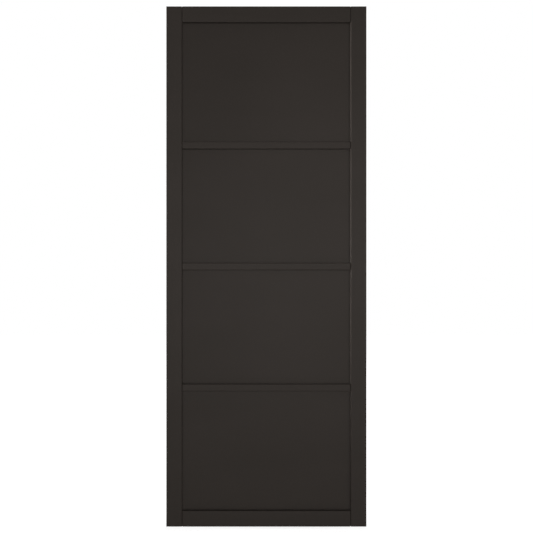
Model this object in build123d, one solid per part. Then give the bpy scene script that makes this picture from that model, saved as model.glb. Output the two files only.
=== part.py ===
from build123d import *
import os

# Industrial style interior door leaf: four flat panels in a slim frame of stiles, rails and bars.
# Millimetres, with X across the leaf, Y through its thickness and Z up. The front faces -Y.
# The origin is the middle of the bottom edge.

# Leaf
leaf_width = 762.0
leaf_height = 1981.0
leaf_thickness = 35.0
leaf_edge_radius = 1.0  # easing of the leaf's own edges, left nearly square so that they can be planed to fit
arris_radius = 4.0  # rounding of a frame member's edges at panels and joints, which leaves a V at each joint

# Frame members, as wide as they show from the front
stile_width = 60.0
top_rail_width = 60.0
bottom_rail_width = 60.0
bar_width = 28.0
bar_spacing = 462.0  # from one bar's centre line to the next

# Panels, and the groove that holds them all round
panel_thickness = 10.0
panel_slip = 0.1  # play between a panel's face and the groove's wall
groove_depth = 8.0
groove_end_gap = 1.0  # room left at the bottom of a groove
glue_line = 0.1  # between a tongue's face and the groove's wall

# Dowels in the joints of the rails and of the bars
rail_dowel_diameter = 12.0
rail_dowel_length = 80.0
rail_dowel_height_shares = (0.25, 0.75)  # of the height of a rail's tongue
bar_dowel_diameter = 6.0
bar_dowel_length = 40.0
bar_dowel_height_shares = (0.5,)  # of the height of a bar's tongue
dowel_clearance = 0.1  # glue space round a dowel
dowel_end_gap = 2.0  # glue space past each end of a dowel
dowel_chamfer = 0.8
flute_count = 10
flute_radius = 0.6
flute_depth = 0.3

# Length by which a cut runs past the face that it opens
cut_overrun = 5.0

# Which of a piece's edges is meant, once they are sorted along an axis
first = 0
last = -1

# Places and fits that follow from the sizes above
shoulder = leaf_width / 2 - stile_width  # where the rails and bars butt against a stile
groove_width = panel_thickness + 2 * panel_slip
housed_depth = groove_depth - groove_end_gap  # how far panels and tongues reach into a groove
housed_width = 2 * (shoulder + housed_depth)
tongue_thickness = groove_width - 2 * glue_line
top_rail_edge = leaf_height - top_rail_width


def ease_leaf_edge(piece, along, across, place):
    """Ease the edges that run along one axis and lie first or last across it, on the leaf's outline."""
    return fillet(piece.edges().filter_by(along).group_by(across)[place], leaf_edge_radius)


def across_joint(side, height):
    """The place where a dowel crosses the joint between a cross member and a stile, its axis along X."""
    return Pos(side * shoulder, 0, height) * Rot(0, 90, 0)


class CrossMember:
    """A rail or bar between the stiles, from its lower to its upper edge, and its dowels."""

    def __init__(self, low, high, groove_below, groove_above, diameter, length, height_shares):
        self.low = low
        self.high = high
        self.edge_heights = (low, high)
        self.panel_edges = [place for place, cut in ((first, groove_below), (last, groove_above)) if cut]
        self.leaf_edges = [place for place in (first, last) if place not in self.panel_edges]
        self.tongue_low = low + groove_depth if groove_below else low
        self.tongue_high = high - groove_depth if groove_above else high
        tongue_height = self.tongue_high - self.tongue_low
        self.dowel_heights = [self.tongue_low + share * tongue_height for share in height_shares]
        self.dowel_diameter = diameter
        self.dowel_length = length

    def holes(self, side):
        """The dowel holes at one end, which run into the member and into its stile."""
        hole = Cylinder(self.dowel_diameter / 2 + dowel_clearance, self.dowel_length + 2 * dowel_end_gap)
        return [across_joint(side, height) * hole for height in self.dowel_heights]

    def planed(self):
        """The piece as planed, rounded at its ends and beside its panels."""
        piece = Box(2 * shoulder, leaf_thickness, self.high - self.low)
        rounded = piece.edges().filter_by(Axis.Z)
        for place in self.panel_edges:
            rounded += piece.edges().filter_by(Axis.X).group_by(Axis.Z)[place]
        piece = fillet(rounded, arris_radius)
        for place in self.leaf_edges:
            piece = ease_leaf_edge(piece, Axis.X, Axis.Z, place)
        return Pos(0, 0, (self.low + self.high) / 2) * piece

    def body(self):
        """The member: grooved for the panels beside it, with a stub tongue and dowel holes at each end."""
        member = self.planed()
        groove = Box(2 * shoulder + cut_overrun, groove_width, 2 * groove_depth)
        for place in self.panel_edges:
            member -= Pos(0, 0, self.edge_heights[place]) * groove
        tongue = Box(housed_width, tongue_thickness, self.tongue_high - self.tongue_low)
        member += Pos(0, 0, (self.tongue_low + self.tongue_high) / 2) * tongue
        return member - self.holes(-1) - self.holes(1)

    def dowels(self):
        """The fluted dowels at both ends, each with its ends chamfered."""
        pin = Cylinder(self.dowel_diameter / 2, self.dowel_length)
        pin = chamfer(pin.edges().filter_by(GeomType.CIRCLE), dowel_chamfer)
        flute_circle = self.dowel_diameter / 2 + flute_radius - flute_depth
        for flute_place in PolarLocations(flute_circle, flute_count):
            pin -= flute_place * Cylinder(flute_radius, self.dowel_length + cut_overrun)
        return [across_joint(side, height) * pin for side in (-1, 1) for height in self.dowel_heights]


def bar(step):
    """A slim bar, so many spacings above or below the middle of the leaf."""
    centre = leaf_height / 2 + step * bar_spacing
    low = centre - bar_width / 2
    high = centre + bar_width / 2
    return CrossMember(low, high, True, True, bar_dowel_diameter, bar_dowel_length, bar_dowel_height_shares)


def rail(low, high, groove_below, groove_above):
    """A rail, grooved on the edge that faces its panel."""
    return CrossMember(low, high, groove_below, groove_above,
                       rail_dowel_diameter, rail_dowel_length, rail_dowel_height_shares)


def stile(side, cross_members):
    """An upright of full height, grooved along its inner edge and bored for every cross member."""
    inner, outer = (first, last) if side > 0 else (last, first)
    upright = Box(stile_width, leaf_thickness, leaf_height)
    upright = fillet(upright.edges().filter_by(Axis.Z).group_by(Axis.X)[inner], arris_radius)
    upright = ease_leaf_edge(upright, Axis.Z, Axis.X, outer)
    for end in (first, last):
        upright = ease_leaf_edge(upright, Axis.X, Axis.Z, end)
    upright = Pos(side * (shoulder + stile_width / 2), 0, leaf_height / 2) * upright
    groove = Box(2 * groove_depth, groove_width, leaf_height + cut_overrun)
    upright -= Pos(side * shoulder, 0, leaf_height / 2) * groove
    for member in cross_members:
        upright -= member.holes(side)
    return upright


def panel(below, above):
    """A flat panel in the grooves of the members below and above it and of both stiles."""
    opening_height = above.low - below.high
    board = Box(housed_width, panel_thickness, opening_height + 2 * housed_depth)
    return Pos(0, 0, (below.high + above.low) / 2) * board


cross_members = {
    "bottom_rail": rail(0, bottom_rail_width, False, True),
    "lower_bar": bar(-1),
    "middle_bar": bar(0),
    "upper_bar": bar(1),
    "top_rail": rail(top_rail_edge, leaf_height, True, False),
}
panel_names = ("bottom_panel", "lower_panel", "upper_panel", "top_panel")
stile_sides = {"left_stile": -1, "right_stile": 1}

nodes = {}
for name, side in stile_sides.items():
    nodes[name] = stile(side, cross_members.values())
for name, member in cross_members.items():
    nodes[name] = member.body()
    nodes[name + "_dowels"] = Compound(member.dowels())
members = list(cross_members.values())
for name, below, above in zip(panel_names, members, members[1:]):
    nodes[name] = panel(below, above)

os.makedirs("parts", exist_ok=True)
for name, node in nodes.items():
    export_step(node, f"parts/{name}.step")
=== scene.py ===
import math

import bpy
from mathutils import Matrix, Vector


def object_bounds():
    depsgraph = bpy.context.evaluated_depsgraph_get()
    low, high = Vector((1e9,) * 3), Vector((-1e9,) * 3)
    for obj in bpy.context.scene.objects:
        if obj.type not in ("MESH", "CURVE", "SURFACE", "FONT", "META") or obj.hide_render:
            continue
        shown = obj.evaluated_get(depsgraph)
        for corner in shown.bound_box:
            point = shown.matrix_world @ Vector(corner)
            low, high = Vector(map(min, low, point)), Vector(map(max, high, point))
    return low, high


# Industrial style interior door leaf: a slim timber frame round four flat fibreboard panels, sprayed black.
# Metres, with X across the leaf, Y through its thickness and Z up. The front faces -Y.
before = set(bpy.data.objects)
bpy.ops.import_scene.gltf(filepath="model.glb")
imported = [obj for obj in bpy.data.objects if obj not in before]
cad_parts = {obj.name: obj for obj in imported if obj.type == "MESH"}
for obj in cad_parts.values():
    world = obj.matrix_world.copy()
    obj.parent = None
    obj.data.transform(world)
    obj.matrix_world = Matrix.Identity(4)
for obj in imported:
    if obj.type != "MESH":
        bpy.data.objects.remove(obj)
cad_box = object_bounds()


# Dowels
# Fluted beech pins, turned and pressed with grooves that let the glue escape. They sit glued in blind
# holes across every joint of rail or bar and stile, so none of them shows on the finished leaf.
def linear(hex_colour):
    """An sRGB colour such as #D8B58C as linear red, green, blue and alpha."""
    shares = [int(hex_colour[i:i + 2], 16) / 255 for i in (1, 3, 5)]
    return [c / 12.92 if c <= 0.04045 else ((c + 0.055) / 1.055) ** 2.4 for c in shares] + [1.0]


def per_metre(size_mm):
    """The scale at which a texture repeats once in this many millimetres."""
    return 1000 / size_mm


def add(tree, kind, properties, inputs):
    """Add a node: its properties, then each input as a fixed value or as a link from another node."""
    node = tree.nodes.new("ShaderNode" + kind)
    for name, value in properties.items():
        setattr(node, name, value)
    for name, value in inputs.items():
        if isinstance(value, bpy.types.NodeSocket):
            tree.links.new(value, node.inputs[name])
        else:
            node.inputs[name].default_value = value
    return node


def new_material(name):
    """A material with its node tree, its shader and the place of each point in the piece's own space."""
    material = bpy.data.materials.new(name)
    material.use_nodes = True
    tree = material.node_tree
    place = add(tree, "TexCoord", {}, {}).outputs["Object"]
    return material, tree, tree.nodes["Principled BSDF"], place


# Beech, turned: pale pinkish brown, with darker growth bands along the pin and short dark ray flecks.
beech_pale = "#D8B58C"
beech_band = "#C0956A"
beech_fleck = "#9C6F48"
beech_ior = 1.53
pale_roughness = 0.55
band_roughness = 0.7
band_mm = 3.0  # across a growth band
band_stretch = 0.08  # how slowly the bands change along the pin, beside across it
fleck_mm = 1.2  # across a ray fleck
fleck_stretch = 0.3
fleck_start = 0.6  # level of the noise at which a fleck begins to show
fleck_full = 0.72
pore_depth = 0.0001
pore_strength = 0.3
turned_beech, tree, shader, place = new_material("turned_beech")
along_pin = add(tree, "Mapping", {}, {"Vector": place, "Scale": (band_stretch, 1, 1)})
bands = add(tree, "TexNoise", {}, {
    "Vector": along_pin.outputs[0], "Scale": per_metre(band_mm), "Detail": 3})
along_ray = add(tree, "Mapping", {}, {"Vector": place, "Scale": (fleck_stretch, 1, 1)})
rays = add(tree, "TexNoise", {}, {
    "Vector": along_ray.outputs[0], "Scale": per_metre(fleck_mm), "Detail": 1})
fleck = add(tree, "MapRange", {}, {
    "Value": rays.outputs["Fac"], "From Min": fleck_start, "From Max": fleck_full})
# Sockets 6 and 7 of a colour mix are its two colours, and output 2 is the result.
banded = add(tree, "Mix", {"data_type": "RGBA"}, {
    0: bands.outputs["Fac"], 6: linear(beech_pale), 7: linear(beech_band)})
flecked = add(tree, "Mix", {"data_type": "RGBA"}, {
    0: fleck.outputs[0], 6: banded.outputs[2], 7: linear(beech_fleck)})
tree.links.new(flecked.outputs[2], shader.inputs["Base Color"])
satin = add(tree, "MapRange", {}, {
    "Value": bands.outputs["Fac"], "To Min": pale_roughness, "To Max": band_roughness})
tree.links.new(satin.outputs[0], shader.inputs["Roughness"])
pores = add(tree, "Bump", {}, {
    "Height": rays.outputs["Fac"], "Strength": pore_strength, "Distance": pore_depth})
tree.links.new(pores.outputs[0], shader.inputs["Normal"])
shader.inputs["IOR"].default_value = beech_ior

cross_members = ("bottom_rail", "lower_bar", "middle_bar", "upper_bar", "top_rail")
for member in cross_members:
    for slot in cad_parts[member + "_dowels"].material_slots:
        slot.material = turned_beech


# Rails and bars
# Planed softwood, rounded along every edge that meets a panel or a joint, with a groove for the panels
# and a stub tongue and dowels at each end. The assembled leaf is then sprayed with black primer.
primer_shade = "#2A2622"
primer_light = "#332E2B"
primer_ior = 1.5
primer_specular = 0.06  # low, because the matting powder in it breaks up most of the reflection
primer_roughness = 0.55
roughness_spread = 0.05  # up at a dust nib and down between nibs
relief_depth = 0.0002
relief_strength = 0.5
cloud_mm = 170.0  # width of one pass of the spray gun
cloud_stretch = 0.4  # how slowly the clouds change along a pass, which runs across the leaf
peel_mm = 3.0  # waves of the dried spray; the real ones are about 1 mm, drawn coarser to show
nib_mm = 6.0  # dust nibs and dry overspray, likewise drawn coarser than their 0.5 mm
nib_low = 0.3  # the noise of the nibs lies mostly between these levels
nib_high = 0.7
ring_mm = 3.0  # from one growth ring to the next
ring_wander = 12  # how far the rings stray from true circles
ring_wander_scale = 0.3
streak_mm = 9.0  # width of the streaks in which the grain shows or stays hidden
grain_stretch = 0.03  # how slowly the rings wander along the grain, beside across it
grain_shift = (0.11, 0.075, 0.14)  # puts the middle of the growth rings outside the leaf's thickness
cloud_share = 0.6  # of the step from the primer's shade to its light
nib_share = 0.7
grain_share = 0.4
grain_height_share = 0.6  # of the height of the peel
noise_mean = 0.5  # of every noise and of the rings


def black_primer(name, grain_axis):
    """Matt black primer, sprayed: soft clouds where the passes overlap, a fine orange peel, and dust nibs.

    Over planed softwood the summer grain telegraphs through as faint raised lines along one axis, and on
    the ends as growth rings. With no grain axis it lies on sanded fibreboard, which shows none.
    """
    material, tree, shader, place = new_material(name)
    passes = add(tree, "Mapping", {}, {"Vector": place, "Scale": (cloud_stretch, 1, 1)})
    clouds = add(tree, "TexNoise", {}, {
        "Vector": passes.outputs[0], "Scale": per_metre(cloud_mm), "Detail": 2, "Roughness": 0.4})
    nibs = add(tree, "TexNoise", {}, {"Vector": place, "Scale": per_metre(nib_mm), "Detail": 4})
    peel = add(tree, "TexNoise", {}, {"Vector": place, "Scale": per_metre(peel_mm), "Detail": 2})
    # Each share is taken about its mean, so that the tone stays midway between shade and light.
    midway = noise_mean * (1 - cloud_share - nib_share)
    tone = add(tree, "Math", {"operation": "MULTIPLY_ADD"}, {
        0: clouds.outputs["Fac"], 1: cloud_share, 2: midway})
    tone = add(tree, "Math", {"operation": "MULTIPLY_ADD"}, {
        0: nibs.outputs["Fac"], 1: nib_share, 2: tone.outputs[0]})
    height = peel.outputs["Fac"]
    if grain_axis is not None:
        stretch = [1.0, 1.0, 1.0]
        stretch["XYZ".index(grain_axis)] = grain_stretch
        along = add(tree, "Mapping", {}, {"Vector": place, "Location": grain_shift, "Scale": stretch})
        # A wave texture repeats every pi / 10 of its own length.
        rings = add(tree, "TexWave", {"wave_type": "RINGS", "rings_direction": grain_axis}, {
            "Vector": along.outputs[0], "Scale": per_metre(ring_mm) * math.pi / 10,
            "Distortion": ring_wander, "Detail": 3, "Detail Scale": ring_wander_scale})
        streaks = add(tree, "TexNoise", {}, {
            "Vector": along.outputs[0], "Scale": per_metre(streak_mm), "Detail": 2})
        grain = add(tree, "Math", {"operation": "MULTIPLY"}, {
            0: rings.outputs["Fac"], 1: streaks.outputs["Fac"]})
        tone = add(tree, "Math", {"operation": "MULTIPLY_ADD"}, {
            0: grain.outputs[0], 1: grain_share, 2: tone.outputs[0]})
        tone = add(tree, "Math", {"operation": "SUBTRACT"}, {
            0: tone.outputs[0], 1: grain_share * noise_mean ** 2})
        raised = add(tree, "Math", {"operation": "MULTIPLY_ADD"}, {
            0: grain.outputs[0], 1: grain_height_share, 2: peel.outputs["Fac"]})
        height = raised.outputs[0]
    colour = add(tree, "Mix", {"data_type": "RGBA"}, {
        0: tone.outputs[0], 6: linear(primer_shade), 7: linear(primer_light)})
    tree.links.new(colour.outputs[2], shader.inputs["Base Color"])
    matt = add(tree, "MapRange", {}, {
        "Value": nibs.outputs["Fac"], "From Min": nib_low, "From Max": nib_high,
        "To Min": primer_roughness - roughness_spread, "To Max": primer_roughness + roughness_spread})
    tree.links.new(matt.outputs[0], shader.inputs["Roughness"])
    relief = add(tree, "Bump", {}, {
        "Height": height, "Strength": relief_strength, "Distance": relief_depth})
    tree.links.new(relief.outputs[0], shader.inputs["Normal"])
    shader.inputs["IOR"].default_value = primer_ior
    shader.inputs["Specular IOR Level"].default_value = primer_specular
    return material


primer_across = black_primer("black_primer_sprayed_on_softwood_across", "X")
for member in cross_members:
    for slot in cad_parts[member].material_slots:
        slot.material = primer_across


# Panels
# Four flat pieces of fibreboard, sawn to size, sanded and slipped dry into the grooves of rails, bars and
# stiles. They lie 12.5 mm behind the face of the frame and are primed with it.
primer_panel = black_primer("black_primer_sprayed_on_fibreboard", None)
for panel in ("bottom_panel", "lower_panel", "upper_panel", "top_panel"):
    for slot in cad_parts[panel].material_slots:
        slot.material = primer_panel


# Stiles
# Two planed softwood uprights of full height that close the leaf at the sides: grooved for the panels,
# bored for the dowels, glued and cramped on last.
primer_upright = black_primer("black_primer_sprayed_on_softwood_upright", "Z")
for stile in ("left_stile", "right_stile"):
    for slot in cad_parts[stile].material_slots:
        slot.material = primer_upright


# Floor and surround
# A plain white studio: matt white paper underfoot that keeps a faint shadow of the leaf, and white all
# round it, which the camera and reflections see at full strength and diffuse light sees dimmer.
floor_size = 12.0
floor_white = "#F2F2F2"
pure_white = "#FFFFFF"
fibre_mm = 4.0  # clumps of paper fibre
fibre_roughness_low = 0.85
fibre_roughness_high = 0.95
glow_near = 0.75  # what the paper adds to its own shaded look near the leaf, where the shadow stays visible
glow_far = 0.94  # and farther off, where less lamplight falls
near_reach = 0.3  # distances from the middle of the leaf's foot
far_reach = 1.1
surround_fill = 0.08


def seen_directly(tree):
    """1 for camera, glossy and transmitted rays, and 0 for the light that surfaces scatter."""
    ray = add(tree, "LightPath", {}, {})
    seen = add(tree, "Math", {"operation": "ADD"}, {
        0: ray.outputs["Is Camera Ray"], 1: ray.outputs["Is Glossy Ray"]})
    seen = add(tree, "Math", {"operation": "ADD", "use_clamp": True}, {
        0: seen.outputs[0], 1: ray.outputs["Is Transmission Ray"]})
    return seen.outputs[0]


bpy.ops.mesh.primitive_plane_add(size=floor_size)
floor = bpy.context.object
floor.name = "floor"
# Paper, uncoated: even white with no sheen at all.
paper, tree, shader, place = new_material("matt_white_paper")
fibres = add(tree, "TexNoise", {}, {"Vector": place, "Scale": per_metre(fibre_mm), "Detail": 3})
rough = add(tree, "MapRange", {}, {
    "Value": fibres.outputs["Fac"], "To Min": fibre_roughness_low, "To Max": fibre_roughness_high})
tree.links.new(rough.outputs[0], shader.inputs["Roughness"])
shader.inputs["Base Color"].default_value = linear(floor_white)
shader.inputs["Specular IOR Level"].default_value = 0.0
shader.inputs["Emission Color"].default_value = linear(pure_white)
reach = add(tree, "VectorMath", {"operation": "LENGTH"}, {0: place})
level = add(tree, "MapRange", {}, {
    "Value": reach.outputs["Value"], "From Min": near_reach, "From Max": far_reach,
    "To Min": glow_near, "To Max": glow_far})
glow = add(tree, "Math", {"operation": "MULTIPLY"}, {0: seen_directly(tree), 1: level.outputs[0]})
tree.links.new(glow.outputs[0], shader.inputs["Emission Strength"])
floor.data.materials.append(paper)

world = bpy.data.worlds.new("white_surround")
bpy.context.scene.world = world
world.use_nodes = True
tree = world.node_tree
strength = add(tree, "MapRange", {}, {"Value": seen_directly(tree), "To Min": surround_fill, "To Max": 1.0})
tree.nodes["Background"].inputs["Color"].default_value = linear(pure_white)
tree.links.new(strength.outputs[0], tree.nodes["Background"].inputs["Strength"])


# Lamps
# Softboxes of a plain studio: one far off before each face, a weak one to the right of the front, a tall
# strip beside each edge that grazes a face and picks out its arrises, a short strip low on the left that
# carries on where the tall one ends, and a narrow one above the top edge.
far_off = 6.0
beside = 2.5
grazing = 0.09  # how far before or behind the leaf's middle a tall strip stands
middle_height = (cad_box[0].z + cad_box[1].z) / 2
leaf_middle = (0, 0, middle_height)
leaf_top = (0, 0, cad_box[1].z)
square_box = (0.8, 0.8)
tall_strip = (0.08, 1.8)
left_strip_height = 1.45
right_strip_height = 1.1


def softbox(name, place, target, size, watts, spread):
    """A rectangular area lamp that the camera doesn't see, with its spread in degrees."""
    data = bpy.data.lights.new(name, "AREA")
    data.shape = "RECTANGLE"
    data.size, data.size_y = size
    data.energy = watts
    data.spread = math.radians(spread)
    lamp = bpy.data.objects.new(name, data)
    lamp.location = place
    lamp.rotation_euler = (Vector(target) - Vector(place)).to_track_quat("-Z", "Y").to_euler()
    lamp.visible_camera = False
    bpy.context.scene.collection.objects.link(lamp)


softbox("front", place=(0, -far_off, middle_height), target=leaf_middle, size=square_box,
        watts=79, spread=120)
softbox("right", place=(2.0, -2.4, 1.4), target=(0.1, 0, 1.2), size=(1.0, 1.2),
        watts=3.1, spread=60)
softbox("left_strip", place=(-beside, -grazing, left_strip_height), target=(0.35, 0, left_strip_height),
        size=tall_strip, watts=6.3, spread=24)
softbox("left_low", place=(-beside, 0.06, 0.16), target=(cad_box[0].x, 0, 0.22), size=(0.02, 0.3),
        watts=1.2, spread=26)
softbox("back", place=(0, far_off, middle_height), target=leaf_middle, size=square_box,
        watts=28, spread=70)
softbox("right_strip", place=(beside, grazing, right_strip_height), target=(-0.35, 0, right_strip_height),
        size=tall_strip, watts=6, spread=30)
softbox("top", place=(0, 0, 2.5), target=leaf_top, size=(0.8, 0.03),
        watts=1.1, spread=60)


# Camera
# Square on to the front, at the middle of the leaf's height. The lens gives the front face 262.7 pixels
# to a metre in a frame of 533 pixels, so that the leaf nearly fills its height.
camera_distance = 2.2
camera_offset = 0.0005  # to the right, which sets the leaf an eighth of a pixel left of the frame's middle
sensor_mm = 36
pixels_per_metre = 262.7
frame_pixels = 533
face_distance = camera_distance + cad_box[0].y
camera_data = bpy.data.cameras.new("camera")
camera_data.sensor_width = sensor_mm
camera_data.lens = pixels_per_metre * face_distance * sensor_mm / frame_pixels
camera = bpy.data.objects.new("camera", camera_data)
camera.location = (camera_offset, -camera_distance, middle_height)
camera.rotation_euler = (math.radians(90), 0, 0)
bpy.context.scene.collection.objects.link(camera)
bpy.context.scene.camera = camera
bpy.context.scene.view_settings.view_transform = "Standard"
